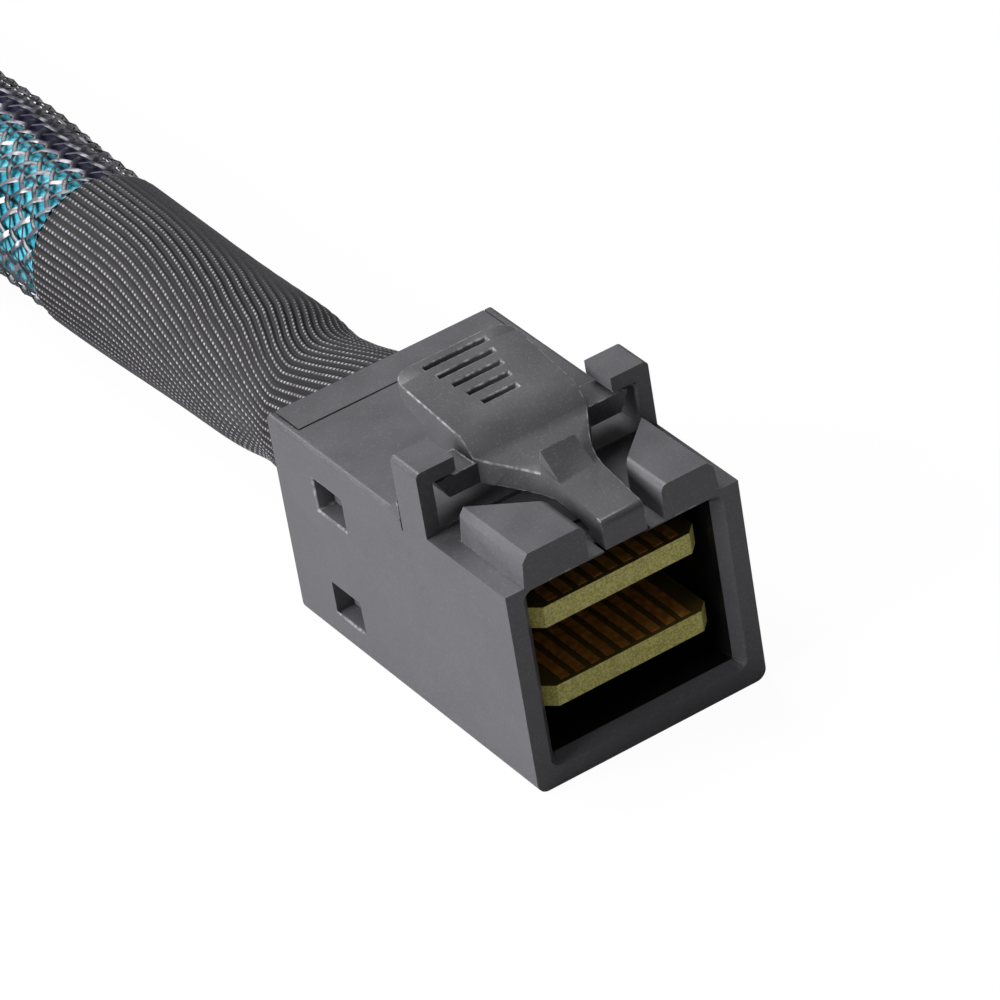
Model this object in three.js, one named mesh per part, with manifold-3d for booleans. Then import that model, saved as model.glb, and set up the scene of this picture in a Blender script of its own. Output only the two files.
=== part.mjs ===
// Internal data cable: a small dark moulded plug with a press-down latch and two paddle cards, a ribbed boot,
// a braided sleeve lying in a loose loop, and a flatter far plug with a sprung metal latch.
// Millimetres, +Z up. The near plug stands on z = 0, its mouth faces -Y and its cable leaves towards +Y.
import * as THREE from "three";
import { mergeVertices } from "three/addons/utils/BufferGeometryUtils.js";
import Module from "manifold-3d";

const wasm = await Module();
wasm.setup();

// Near housing
const housingWidth = 11.4;
const housingHeight = 10.05;
const housingLength = 17.9;
const sideWall = 1.2;
const floorWall = 1.3;
const roofWall = 0.8;
const cornerRadius = 0.5;
const topEdgeRadius = 0.2;
const cavityRadius = 0.12;
const mouthLeadIn = 0.4;
const mouthLeadInDepth = 0.5;
const noseDrop = 0.2;
const seatGap = 0.05;

// Guide blocks on the nose
const blockRise = 1.3;
const blockInset = 0.87;
const blockSpacing = 3.74;
const blockLength = 4.6;
const blockStraightLength = 2.45;
const blockRearWidth = 0.45;
const blockInnerRadius = 0.35;
const blockChamferWidth = 0.28;
const blockChamferHeight = 0.35;
const blockDraft = 0.16;

// Ears over the latch
const earFront = 5.7;
const earLength = 1.9;
const earRise = 2.95;
const earWall = 0.7;
const earReach = 1.85;
const earLipThickness = 0.7;
const earEdgeRadius = 0.25;
const gussetLength = 0.95;
const gussetRise = 0.75;
const slitWidth = 0.1;
const slitDepth = 0.15;
const slitHeight = 1.5;

// Side windows
const windowRear = 14.85;
const windowLength = 2.2;
const windowHeight = 1.6;
const upperWindowBase = 6.75;
const lowerWindowBase = 1.5;

// Rear cover
const coverLength = 1.9;
const coverLipWidth = 0.4;
const coverArmThickness = 0.6;
const coverArmLength = 3.6;
const coverArmMargin = 0.4;
const tabClearance = 0.1;
const tabReach = 0.45;
const tabRamp = 0.65;
const throatRadius = 2.75;
const funnelRadius = 3.9;
const funnelLength = 1.4;
const collarWall = 0.3;
const collarLength = 3.4;

// Release latch
const beamWidth = 2.05;
const beamOffset = 0.22;
const beamSlotRoof = 0.48;
const footLength = 1.2;
const footClearance = 0.12;
const footBottom = 9.72;
const beamFrontTop = 11.02;
const beamFrontRadius = 0.3;
const beamUnderside = 10.15;
const neckFront = 2.7;
const ridgeFootDepth = 6.05;
const ridgeFootTop = 12.2;
const ridgeDepth = 6.83;
const ridgeTop = 12.91;
const padRear = 11.8;
const padRearTop = 13.58;
const padEdgeThickness = 0.6;
const padWidth = 5.8;
const padFrontWidth = 5.64;
const padCornerRadius = 0.9;
const heelFront = 6.0;
const heelRear = 7.4;
const heelUnderside = 11.1;
const grooveCount = 5;
const groovePitch = 0.8;
const grooveWidth = 0.24;
const grooveDepth = 0.3;
const firstGrooveBack = 0.55;
const firstGrooveLength = 3.1;
const grooveShortening = 0.35;
const hookFront = 2.95;
const hookLength = 1.2;
const hookWidth = 1.75;
const hookRise = 0.72;
const hookUndercut = 0.15;
const hookOffset = 0.08;
const hookSeat = 0.3;
const neckBow = 0.05;
const neckBowLength = 1.2;
const neckFlare = 0.9;
const neckFlareLength = 1.45;
const wingClearance = 0.28;
const wingThickness = 0.94;
const wingLength = 1.6;
const wingTaper = 0.5;
const wingSeat = 0.4;
const wingLead = 0.1;

// Paddle cards and their contacts
const cardThickness = 1.0;
const cardSideGap = 0.4;
const cardFront = 0.9;
const cardLength = 11.1;
const cardSpacing = 3.9;
const lowerCardCentre = 3.45;
const cardChamfer = 0.5;
const contactCount = 9;
const contactPitch = 0.75;
const contactWidth = 0.45;
const contactLength = 3.4;
const contactSetback = 0.22;
const contactRise = 0.05;
const solderPadLength = 1.5;
const solderPadSetback = 0.25;

// Spacer moulding round the cards
const spacerFront = 6.5;
const spacerLength = 3.2;
const slotClearance = 0.1;

// Wires
const pairWidth = 1.34;
const pairHeight = 0.8;
const sideWireDiameter = 0.56;
const wireLift = 0.06;
const wireStart = 10.2;
const fanStart = 12.3;
const fanEnd = 17.2;
const pairPadPlace = 1.5;
const bundlePairGap = 0.16;
const bundleRowPitch = 1.0;
const bundleSideOffset = 1.76;
const wireEndGap = 0.5;
const wireSteps = 14;

// Boot
const cableHeight = 5.0;
const bootLength = 25.0;
const bootWall = 0.42;
const bootClearance = 0.1;
const bootFlare = 0.75;
const bootFlareLength = 5.0;
const bootEndSwell = 0.2;
const bootSag = 0.7;
const bootSteps = 12;
const bootSides = 28;
const cordGap = 0.3;
const cordFloorGap = 0.02;

// Sleeved cable and its route on the surface
const sleeveDiameter = 7.6;
const sleeveSides = 10;
const sleeveSteps = 64;
const loopCentreX = -46;
const loopCentreY = 76;
const loopRadius = 46;
const loopTurns = 1.5;
const loopTurnSpacing = 8;
const loopPointsPerTurn = 12;
const crossingY = 52.6;
const crossingRise = 8.2;
const crossingHalfLength = 36;
const farCableEndY = 14.3;

// Far plug
const farWidth = 14.6;
const farHeight = 7.5;
const farShellLength = 19.0;
const farBootLength = 10.0;
const farBootDiameter = 7.2;
const farBootFlare = 0.3;
const farBootFlareLength = 3.3;
const farBootSides = 20;
const farCornerRadius = 0.8;
const farNeckWall = 1.2;
const farNeckLength = 4.5;
const farNeckCurve = 2.2;
const farEdgeBevel = 0.45;
const farPartingGap = 0.1;
const farNoseWidth = 12.0;
const farNoseHeight = 4.4;
const farNoseReach = 6.5;
const farNoseSeat = 2.6;
const farNoseWall = 0.3;
const farNoseRadius = 0.6;
const farFit = 0.1;
const farCardThickness = 0.7;
const farCardWidth = 10.8;
const farCardSetback = 0.9;
const farCardTail = 1.0;
const farContactCount = 21;
const farContactPitch = 0.5;
const farContactWidth = 0.28;
const farContactLength = 2.6;
const farInsulatorLength = 3.6;
const farInsulatorReach = 1.4;
const farLatchThickness = 0.3;
const farLatchArmWidth = 1.5;
const farLatchArmSpacing = 6.4;
const farLatchTail = 9.0;
const farLatchSetback = 1.5;
const farBridgeLead = 1.0;
const farHookRise = 0.55;
const farHookLength = 1.3;
const farHookTop = 0.5;
const farHookGap = 0.3;
const farArmLead = 0.4;
const farPressTravel = 0.6;
const farButtonWidth = 5.4;
const farButtonLength = 5.2;
const farButtonRise = 0.7;
const farButtonClearance = 0.2;
const farButtonFront = 3.4;
const farButtonRadius = 0.8;
const farGripCount = 3;
const farGripPitch = 1.2;
const farGripWidth = 0.4;
const farGripDepth = 0.25;

// Shared places worked out from the sizes above
const halfWidth = housingWidth / 2;
const cavityHalf = halfWidth - sideWall;
const cavityTop = housingHeight - roofWall;
const noseTop = housingHeight - noseDrop;
const blockTop = housingHeight + blockRise;
const slotLeft = beamOffset - blockSpacing / 2;
const slotRight = beamOffset + blockSpacing / 2;
const cardWidth = 2 * (cavityHalf - cardSideGap);
const seamY = housingLength - coverLength;
const upperCardCentre = lowerCardCentre + cardSpacing;
const bootStart = housingLength + seatGap;
const bootEnd = bootStart + bootLength;
const bootInnerRadius = throatRadius + collarWall + bootClearance;
const cordRadius = sleeveDiameter / 2;
const cordRest = cordRadius + cordFloorGap;
const tailX = loopCentreX - (loopRadius - loopTurnSpacing * loopTurns);
const overhang = 2;
const joinDepth = 0.1;

// Turns that carry a drawn outline to where it is extruded from
const alongX = new THREE.Matrix4().makeBasis(
  new THREE.Vector3(0, 1, 0),
  new THREE.Vector3(0, 0, 1),
  new THREE.Vector3(1, 0, 0),
);
const alongY = new THREE.Matrix4().makeBasis(
  new THREE.Vector3(1, 0, 0),
  new THREE.Vector3(0, 0, 1),
  new THREE.Vector3(0, -1, 0),
);

function toSolid(geometry) {
  const bare = geometry.clone();
  bare.deleteAttribute("normal");
  bare.deleteAttribute("uv");
  const merged = mergeVertices(bare, 1e-5);
  return new wasm.Manifold(new wasm.Mesh({
    numProp: 3,
    vertProperties: new Float32Array(merged.attributes.position.array),
    triVerts: new Uint32Array(merged.index.array),
  }));
}

function toGeometry(solid) {
  const mesh = solid.getMesh();
  const geometry = new THREE.BufferGeometry();
  geometry.setAttribute("position", new THREE.BufferAttribute(new Float32Array(mesh.vertProperties), 3));
  geometry.setIndex(new THREE.BufferAttribute(new Uint32Array(mesh.triVerts), 1));
  geometry.computeVertexNormals();
  return geometry;
}

function joined(...solids) {
  return solids.reduce((whole, solid) => whole.add(solid));
}

function cutBy(body, ...cutters) {
  return cutters.reduce((rest, cutter) => rest.subtract(cutter), body);
}

// A block between two opposite corners
function block(x0, x1, y0, y1, z0, z1) {
  const geometry = new THREE.BoxGeometry(x1 - x0, y1 - y0, z1 - z0);
  geometry.translate((x0 + x1) / 2, (y0 + y1) / 2, (z0 + z1) / 2);
  return toSolid(geometry);
}

function extruded(shape, depth, curveSegments = 6) {
  return new THREE.ExtrudeGeometry(shape, { depth, bevelEnabled: false, curveSegments });
}

// A front outline in x and z, run from y0 to y1
function frontOutline(shape, y0, y1, curveSegments) {
  return toSolid(extruded(shape, y1 - y0, curveSegments).applyMatrix4(alongY).translate(0, y1, 0));
}

// A side outline in y and z, run from x0 to x1
function sideOutline(shape, x0, x1, curveSegments) {
  return toSolid(extruded(shape, x1 - x0, curveSegments).applyMatrix4(alongX).translate(x0, 0, 0));
}

// A plan outline in x and y, run from z0 to z1
function planOutline(shape, z0, z1, curveSegments) {
  return toSolid(extruded(shape, z1 - z0, curveSegments).translate(0, 0, z0));
}

function polygon(points) {
  return new THREE.Shape(points.map(([a, b]) => new THREE.Vector2(a, b)));
}

// A rectangle with its own radius at the low and at the high corners
function roundedRectangle(x0, x1, z0, z1, lowRadius, highRadius) {
  const shape = new THREE.Shape();
  shape.moveTo(x0 + lowRadius, z0);
  shape.lineTo(x1 - lowRadius, z0);
  shape.absarc(x1 - lowRadius, z0 + lowRadius, lowRadius, -Math.PI / 2, 0, false);
  shape.lineTo(x1, z1 - highRadius);
  shape.absarc(x1 - highRadius, z1 - highRadius, highRadius, 0, Math.PI / 2, false);
  shape.lineTo(x0 + highRadius, z1);
  shape.absarc(x0 + highRadius, z1 - highRadius, highRadius, Math.PI / 2, Math.PI, false);
  shape.lineTo(x0, z0 + lowRadius);
  shape.absarc(x0 + lowRadius, z0 + lowRadius, lowRadius, Math.PI, Math.PI * 1.5, false);
  return shape;
}

function mirroredX(solid) {
  return solid.mirror([1, 0, 0]);
}

// A turned shape about a line along Y at a given height, from points of radius and y
function turnedAlongY(profile, height, segments = 24) {
  const points = profile.map(([radius, y]) => new THREE.Vector2(radius, y));
  const geometry = new THREE.LatheGeometry(points, segments);
  geometry.translate(0, 0, height);
  return geometry;
}

const part = new THREE.Group();

function material(color, roughness, metalness) {
  return new THREE.MeshStandardMaterial({ color, roughness, metalness });
}

const mouldedGrey = material(0x5d5c61, 0.55, 0);
const latchGrey = material(0x616064, 0.5, 0);
const innerBlack = material(0x2c2b2e, 0.6, 0);
const boardGreen = material(0x8d8a3a, 0.5, 0);
const foilSilver = material(0xb9bcc4, 0.35, 0.9);
const wireTeal = material(0x1f6f78, 0.5, 0);
const bootBlack = material(0x3a383d, 0.8, 0);
const braidGrey = material(0x6a6d75, 0.6, 0);
const shellBlack = material(0x232326, 0.55, 0);
const noseSteel = material(0xc4c6c9, 0.3, 1);

function addPiece(name, shape, finish, home = part) {
  const geometry = shape.isBufferGeometry ? shape : toGeometry(shape);
  const mesh = new THREE.Mesh(geometry, finish);
  mesh.name = name;
  home.add(mesh);
}

// The near plug's moulded shell

// The pair of blocks leaves a gap whose middle lies a little to the right, in line with the latch's beam
function guideBlock(inner) {
  const outer = halfWidth - blockInset;
  const low = cavityTop + joinDepth;
  const plan = polygon([
    [inner, 0],
    [outer, 0],
    [outer, blockLength],
    [outer - blockRearWidth, blockLength],
    [inner, blockStraightLength],
  ]);
  const front = new THREE.Shape();
  front.moveTo(inner, low);
  front.lineTo(outer, low);
  front.lineTo(outer - blockDraft, blockTop - blockChamferHeight);
  front.lineTo(outer - blockDraft - blockChamferWidth, blockTop);
  front.lineTo(inner + blockInnerRadius, blockTop);
  front.absarc(inner + blockInnerRadius, blockTop - blockInnerRadius, blockInnerRadius,
    Math.PI / 2, Math.PI, false);
  front.closePath();
  return planOutline(plan, low, blockTop + overhang).intersect(frontOutline(front, 0, blockLength, 4));
}

function ear() {
  const top = housingHeight + earRise;
  const low = cavityTop + joinDepth;
  const hook = new THREE.Shape();
  hook.moveTo(halfWidth, low);
  hook.lineTo(halfWidth, top - earEdgeRadius);
  hook.absarc(halfWidth - earEdgeRadius, top - earEdgeRadius, earEdgeRadius, 0, Math.PI / 2, false);
  hook.lineTo(halfWidth - earReach, top);
  hook.lineTo(halfWidth - earReach, top - earLipThickness);
  hook.lineTo(halfWidth - earWall, top - earLipThickness);
  hook.lineTo(halfWidth - earWall, low);
  hook.closePath();
  const rear = earFront + earLength;
  const gusset = polygon([
    [rear - slitWidth, low],
    [rear + gussetLength, low],
    [rear + gussetLength, housingHeight],
    [rear + slitWidth, housingHeight + gussetRise],
    [rear - slitWidth, housingHeight + gussetRise],
  ]);
  const slit = block(halfWidth - slitDepth, halfWidth + overhang, rear, rear + slitWidth,
    housingHeight + gussetRise - slitHeight, housingHeight + gussetRise + overhang);
  return {
    body: joined(frontOutline(hook, earFront, rear, 4), sideOutline(gusset, halfWidth - earWall, halfWidth)),
    slit,
  };
}

function windowCut(base, margin, reach) {
  return block(cavityHalf - overhang, reach, windowRear - windowLength + margin, windowRear - margin,
    base + margin, base + windowHeight - margin);
}

function mouthLeadInCut() {
  const outline = roundedRectangle(-cavityHalf, cavityHalf, floorWall, cavityTop, cavityRadius,
    cavityRadius);
  const flared = new THREE.ExtrudeGeometry(outline, {
    depth: overhang,
    bevelEnabled: true,
    bevelThickness: mouthLeadInDepth,
    bevelSize: mouthLeadIn,
    bevelSegments: 1,
    curveSegments: 3,
  });
  return toSolid(flared.applyMatrix4(alongY));
}

function plugShell() {
  const outline = roundedRectangle(-halfWidth, halfWidth, 0, housingHeight, cornerRadius, topEdgeRadius);
  const rightEar = ear();
  const drop = block(-halfWidth - overhang, halfWidth + overhang, -overhang, earFront, noseTop,
    housingHeight + overhang);
  const body = joined(
    cutBy(frontOutline(outline, 0, housingLength, 4), drop),
    guideBlock(slotRight),
    mirroredX(guideBlock(-slotLeft)),
    rightEar.body,
    mirroredX(rightEar.body),
  );
  const cavity = roundedRectangle(-cavityHalf, cavityHalf, floorWall, cavityTop, cavityRadius,
    cavityRadius);
  const footHalf = beamWidth / 2 + footClearance;
  const footRear = footLength + footClearance;
  const footPocket = block(beamOffset - footHalf, beamOffset + footHalf, -overhang, footRear,
    cavityTop - joinDepth, blockTop + overhang);
  const beamSlots = block(slotLeft, slotRight, -overhang, blockStraightLength, cavityTop + beamSlotRoof,
    blockTop + overhang);
  const lipHalf = halfWidth - coverLipWidth;
  const coverSeat = block(-lipHalf, lipHalf, seamY, housingLength + overhang,
    cavityTop, housingHeight + overhang);
  const windows = [upperWindowBase, lowerWindowBase].map((base) => windowCut(base, 0, halfWidth + overhang));
  return cutBy(
    body,
    frontOutline(cavity, -overhang, housingLength + overhang, 3),
    mouthLeadInCut(),
    footPocket,
    beamSlots,
    coverSeat,
    rightEar.slit,
    mirroredX(rightEar.slit),
    ...windows,
    ...windows.map(mirroredX),
  );
}

addPiece("plug_shell", plugShell(), mouldedGrey);

// The cover that snaps in from behind: top band, back plate, four arms with tabs, and the collar

function snapArm(base) {
  const outer = cavityHalf - seatGap;
  const bottom = Math.max(base - coverArmMargin, floorWall + seatGap);
  const top = Math.min(base + windowHeight + coverArmMargin, cavityTop - seatGap);
  const armFront = seamY + seatGap - coverArmLength;
  const armRear = seamY + coverLength / 2;
  const arm = block(outer - coverArmThickness, outer, armFront, armRear, bottom, top);
  const front = windowRear - windowLength + tabClearance;
  const rear = windowRear - tabClearance;
  const tab = polygon([
    [outer - coverArmThickness / 2, front],
    [outer, front],
    [outer + tabReach, front + tabRamp],
    [outer + tabReach, rear],
    [outer - coverArmThickness / 2, rear],
  ]);
  return joined(arm, planOutline(tab, base + tabClearance, base + windowHeight - tabClearance));
}

function rearCover() {
  const bandHalf = halfWidth - coverLipWidth - seatGap;
  const plateHalf = cavityHalf - seatGap;
  const front = seamY + seatGap;
  const band = block(-bandHalf, bandHalf, front, housingLength, cavityTop + seatGap, housingHeight);
  const plate = block(-plateHalf, plateHalf, front, housingLength, floorWall + seatGap,
    cavityTop + seatGap + roofWall / 2);
  const arms = [upperWindowBase, lowerWindowBase].map(snapArm);
  const collar = toSolid(turnedAlongY([
    [0, housingLength - coverLength / 2],
    [throatRadius + collarWall, housingLength - coverLength / 2],
    [throatRadius + collarWall, housingLength + collarLength],
    [0, housingLength + collarLength],
  ], cableHeight));
  const funnel = toSolid(turnedAlongY([
    [0, front - overhang],
    [funnelRadius, front - overhang],
    [funnelRadius, front],
    [throatRadius, front + funnelLength],
    [throatRadius, housingLength + collarLength + overhang],
    [0, housingLength + collarLength + overhang],
  ], cableHeight));
  return cutBy(joined(band, plate, collar, ...arms, ...arms.map(mirroredX)), funnel);
}

addPiece("rear_cover", rearCover(), mouldedGrey);

// The release latch: rooted between the guide blocks, free at the thumb pad

const padSlope = (padRearTop - ridgeTop) / (padRear - ridgeDepth);
const beamSlope = (ridgeFootTop - beamFrontTop) / ridgeFootDepth;

function padTopAt(y) {
  return ridgeTop + (y - ridgeDepth) * padSlope;
}

function beamTopAt(y) {
  return beamFrontTop + y * beamSlope;
}

function latchSide() {
  const side = new THREE.Shape();
  side.moveTo(0, footBottom);
  side.lineTo(footLength, footBottom);
  side.lineTo(footLength, beamUnderside);
  side.lineTo(heelFront, heelUnderside);
  side.lineTo(heelRear, heelUnderside);
  side.lineTo(padRear, padRearTop - padEdgeThickness);
  side.lineTo(padRear, padRearTop);
  side.lineTo(ridgeDepth, ridgeTop);
  side.lineTo(ridgeFootDepth, ridgeFootTop);
  side.lineTo(beamFrontRadius, beamTopAt(beamFrontRadius));
  side.quadraticCurveTo(0, beamFrontTop, 0, beamFrontTop - beamFrontRadius);
  side.closePath();
  return side;
}

// The beam runs beside the middle line, and the neck curves back to it under the pad
function latchPlan() {
  const right = beamOffset + beamWidth / 2;
  const left = beamOffset - beamWidth / 2;
  const front = padFrontWidth / 2;
  const rear = padWidth / 2;
  const corner = padCornerRadius;
  const bowY = neckFront + neckBowLength;
  const flareY = ridgeFootDepth - neckFlareLength;
  const plan = new THREE.Shape();
  plan.moveTo(right, 0);
  plan.lineTo(right, neckFront);
  plan.bezierCurveTo(right + neckBow, bowY, front - neckFlare, flareY, front, ridgeFootDepth);
  plan.lineTo(rear, padRear - corner);
  plan.absarc(rear - corner, padRear - corner, corner, 0, Math.PI / 2, false);
  plan.absarc(corner - rear, padRear - corner, corner, Math.PI / 2, Math.PI, false);
  plan.lineTo(-front, ridgeFootDepth);
  plan.bezierCurveTo(neckFlare - front, flareY, left - neckBow, bowY, left, neckFront);
  plan.lineTo(left, 0);
  plan.closePath();
  return plan;
}

function latchWing() {
  const top = housingHeight + earRise - earLipThickness - wingClearance;
  const inner = padFrontWidth / 2 - wingSeat;
  const outer = halfWidth - earWall - wingClearance;
  const front = heelFront - wingLead;
  const wing = polygon([
    [inner, top - wingThickness],
    [outer - wingTaper, top - wingThickness],
    [outer, top],
    [inner, top],
  ]);
  return frontOutline(wing, front, front + wingLength);
}

function latchHook() {
  const rear = hookFront + hookLength;
  const wedge = polygon([
    [hookFront, beamTopAt(hookFront) - hookSeat],
    [rear + hookUndercut, beamTopAt(rear) - hookSeat],
    [rear + hookUndercut, beamTopAt(rear)],
    [rear, beamTopAt(rear) + hookRise],
    [hookFront, beamTopAt(hookFront)],
  ]);
  return sideOutline(wedge, hookOffset - hookWidth / 2, hookOffset + hookWidth / 2);
}

function padGrooves() {
  return Array.from({ length: grooveCount }, (_, index) => {
    const y = padRear - firstGrooveBack - index * groovePitch;
    const half = (firstGrooveLength - index * grooveShortening) / 2;
    const bottom = padTopAt(y) - grooveDepth;
    return block(-half, half, y - grooveWidth / 2, y + grooveWidth / 2, bottom, bottom + overhang);
  });
}

function releaseLatch() {
  const lever = sideOutline(latchSide(), -padWidth, padWidth, 4)
    .intersect(planOutline(latchPlan(), footBottom - overhang, padRearTop + overhang, 6));
  const wing = latchWing();
  return cutBy(joined(lever, wing, mirroredX(wing), latchHook()), ...padGrooves());
}

addPiece("release_latch", releaseLatch(), latchGrey);

// Paddle cards with their contacts, and the spacer that holds them

function contactStrip(count, pitch, width, y0, y1, z0, z1) {
  return Array.from({ length: count }, (_, index) => {
    const x = (index - (count - 1) / 2) * pitch;
    return block(x - width / 2, x + width / 2, y0, y1, z0, z1);
  });
}

function paddleCard(centre) {
  const half = cardWidth / 2;
  const rear = cardFront + cardLength;
  const plan = polygon([
    [-half + cardChamfer, cardFront],
    [half - cardChamfer, cardFront],
    [half, cardFront + cardChamfer],
    [half, rear],
    [-half, rear],
    [-half, cardFront + cardChamfer],
  ]);
  const low = centre - cardThickness / 2;
  const high = centre + cardThickness / 2;
  const frontPads = [cardFront + contactSetback, cardFront + contactSetback + contactLength];
  const rearPads = [rear - solderPadSetback - solderPadLength, rear - solderPadSetback];
  const pads = [frontPads, rearPads].flatMap(([y0, y1]) =>
    contactStrip(contactCount, contactPitch, contactWidth, y0, y1, low - contactRise, high + contactRise));
  return joined(planOutline(plan, low, high), ...pads);
}

addPiece("upper_paddle_card", paddleCard(upperCardCentre), boardGreen);
addPiece("lower_paddle_card", paddleCard(lowerCardCentre), boardGreen);

function cardSpacer() {
  const outer = cavityHalf - seatGap;
  const rear = spacerFront + spacerLength;
  const body = block(-outer, outer, spacerFront, rear, floorWall + seatGap, cavityTop - seatGap);
  const slotHalf = cardWidth / 2 + slotClearance;
  const slots = [lowerCardCentre, upperCardCentre].map((centre) => {
    const reach = cardThickness / 2 + slotClearance;
    return block(-slotHalf, slotHalf, spacerFront - overhang, rear + overhang,
      centre - reach, centre + reach);
  });
  return cutBy(body, ...slots);
}

addPiece("card_spacer", cardSpacer(), innerBlack);

// Signal pairs and single wires, from the cards' solder pads through the collar and the boot

function smoothStep(t) {
  const held = Math.min(Math.max(t, 0), 1);
  return held * held * (3 - 2 * held);
}

function sagAt(y) {
  return bootSag * smoothStep((y - bootStart) / bootLength);
}

function ovalSection(width, height) {
  const shape = new THREE.Shape();
  shape.absellipse(0, 0, height / 2, width / 2, 0, Math.PI * 2, false, 0);
  return shape;
}

class WirePath extends THREE.Curve {
  constructor(cardX, cardZ, bundleX, bundleZ) {
    super();
    this.from = new THREE.Vector2(cardX, cardZ);
    this.to = new THREE.Vector2(bundleX, bundleZ);
  }

  getPoint(t, target = new THREE.Vector3()) {
    const y = wireStart + t * (bootEnd - wireEndGap - wireStart);
    const place = this.from.clone().lerp(this.to, smoothStep((y - fanStart) / (fanEnd - fanStart)));
    return target.set(place.x, y, place.y - sagAt(y));
  }
}

function wire(path, width, height) {
  return new THREE.ExtrudeGeometry(ovalSection(width, height), {
    steps: wireSteps,
    extrudePath: path,
    curveSegments: 4,
    bevelEnabled: false,
  });
}

const wireRows = [
  { card: lowerCardCentre, side: -1 },
  { card: lowerCardCentre, side: 1 },
  { card: upperCardCentre, side: -1 },
  { card: upperCardCentre, side: 1 },
];
const pairPadOffset = pairPadPlace * contactPitch;
const pairBundleOffset = (pairWidth + bundlePairGap) / 2;
const sidePadOffset = (contactCount - 1) / 2 * contactPitch;

wireRows.forEach(({ card, side }, rowIndex) => {
  const face = card + side * (cardThickness / 2 + contactRise + wireLift);
  const bundleZ = cableHeight + (rowIndex - (wireRows.length - 1) / 2) * bundleRowPitch;
  [-1, 1].forEach((hand, handIndex) => {
    const number = rowIndex * 2 + handIndex + 1;
    const pair = new WirePath(hand * pairPadOffset, face + side * pairHeight / 2,
      hand * pairBundleOffset, bundleZ);
    addPiece(`twinax_pair_${number}`, wire(pair, pairWidth, pairHeight), foilSilver);
    const single = new WirePath(hand * sidePadOffset, face + side * sideWireDiameter / 2,
      hand * bundleSideOffset, bundleZ);
    addPiece(`sideband_wire_${number}`, wire(single, sideWireDiameter, sideWireDiameter), wireTeal);
  });
});

// The ribbed boot over the collar, sagging a little towards the braid

function boot() {
  const inner = bootInnerRadius;
  const outer = bootInnerRadius + bootWall;
  const outside = Array.from({ length: bootSteps + 1 }, (_, index) => {
    const along = bootLength * index / bootSteps;
    const flare = bootFlare * (1 - smoothStep(along / bootFlareLength));
    const swell = bootEndSwell * smoothStep(along / bootLength * 2 - 1);
    return [outer + flare + swell, bootStart + along];
  });
  const geometry = turnedAlongY([
    [inner, bootStart],
    ...outside,
    [inner, bootEnd],
    [inner, bootStart + bootLength / 2],
    [inner, bootStart],
  ], cableHeight, bootSides);
  const position = geometry.attributes.position;
  for (let index = 0; index < position.count; index += 1) {
    position.setZ(index, position.getZ(index) - sagAt(position.getY(index)));
  }
  return geometry;
}

addPiece("boot", toSolid(boot()), bootBlack);

// The sleeved cable: back from the boot, one and a half turns on the surface, over itself and to the far plug

function crossingLift(distance) {
  const share = Math.min(Math.abs(distance) / crossingHalfLength, 1);
  return crossingRise * Math.cos(share * Math.PI / 2) ** 2;
}

function sleeveRoute() {
  const start = bootEnd + cordGap;
  const bootEndHeight = cableHeight - bootSag;
  const lead = [
    [0, start, bootEndHeight],
    [0.1, start + 4, bootEndHeight - 0.05],
    [0.4, start + 8, bootEndHeight - 0.15],
    [0.5, start + 13, bootEndHeight - 0.32],
    [0.3, start + 20, cordRest],
    [0.1, start + 27, cordRest],
  ];
  const loop = [];
  const count = Math.round(loopTurns * loopPointsPerTurn);
  for (let index = 0; index <= count; index += 1) {
    const turns = index / loopPointsPerTurn;
    const radius = loopRadius - loopTurnSpacing * turns;
    const angle = turns * Math.PI * 2;
    loop.push([loopCentreX + radius * Math.cos(angle), loopCentreY + radius * Math.sin(angle), cordRest]);
  }
  loop[count][2] += crossingLift(loopCentreY - crossingY);
  const tail = [70, 64, 58, crossingY, 46, 40, 34, 28, 22, 17.5, farCableEndY].map((y) =>
    [tailX, y, cordRest + crossingLift(y - crossingY)]);
  return [...lead, ...loop, ...tail].map(([x, y, z]) => new THREE.Vector3(x, y, z));
}

const route = new THREE.CatmullRomCurve3(sleeveRoute(), false, "centripetal");
const sleeveSection = new THREE.Shape();
sleeveSection.absarc(0, 0, cordRadius, 0, Math.PI * 2, false);
const sleeve = new THREE.ExtrudeGeometry(sleeveSection, {
  steps: sleeveSteps,
  extrudePath: route,
  curveSegments: sleeveSides / 2,
  bevelEnabled: false,
});
addPiece("braided_sleeve", sleeve, braidGrey);

// The far plug lies beside the loop, nose towards -Y, drawn from its nose tip backwards

const farHalf = farWidth / 2;
const farMiddle = cordRest;
const farShellFront = farNoseReach;
const farShellRear = farShellFront + farShellLength;
const farBootStart = farShellRear + farFit;
const farPlug = new THREE.Group();
farPlug.position.set(tailX, farCableEndY - cordGap - farBootLength - farBootStart, 0);
part.add(farPlug);

function farShellPlan(margin) {
  const front = farShellFront + margin;
  const rear = farShellRear - margin;
  const half = farHalf - margin;
  const radius = farCornerRadius;
  const neck = farBootDiameter / 2 + farNeckWall - margin;
  const shoulder = rear - farNeckLength;
  const plan = new THREE.Shape();
  plan.moveTo(-half + radius, front);
  plan.lineTo(half - radius, front);
  plan.absarc(half - radius, front + radius, radius, -Math.PI / 2, 0, false);
  plan.lineTo(half, shoulder);
  plan.bezierCurveTo(half, shoulder + farNeckCurve, neck, shoulder + farNeckCurve, neck, rear);
  plan.lineTo(-neck, rear);
  plan.bezierCurveTo(-neck, shoulder + farNeckCurve, -half, shoulder + farNeckCurve, -half, shoulder);
  plan.lineTo(-half, front + radius);
  plan.absarc(-half + radius, front + radius, radius, Math.PI, Math.PI * 1.5, false);
  return plan;
}

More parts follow.
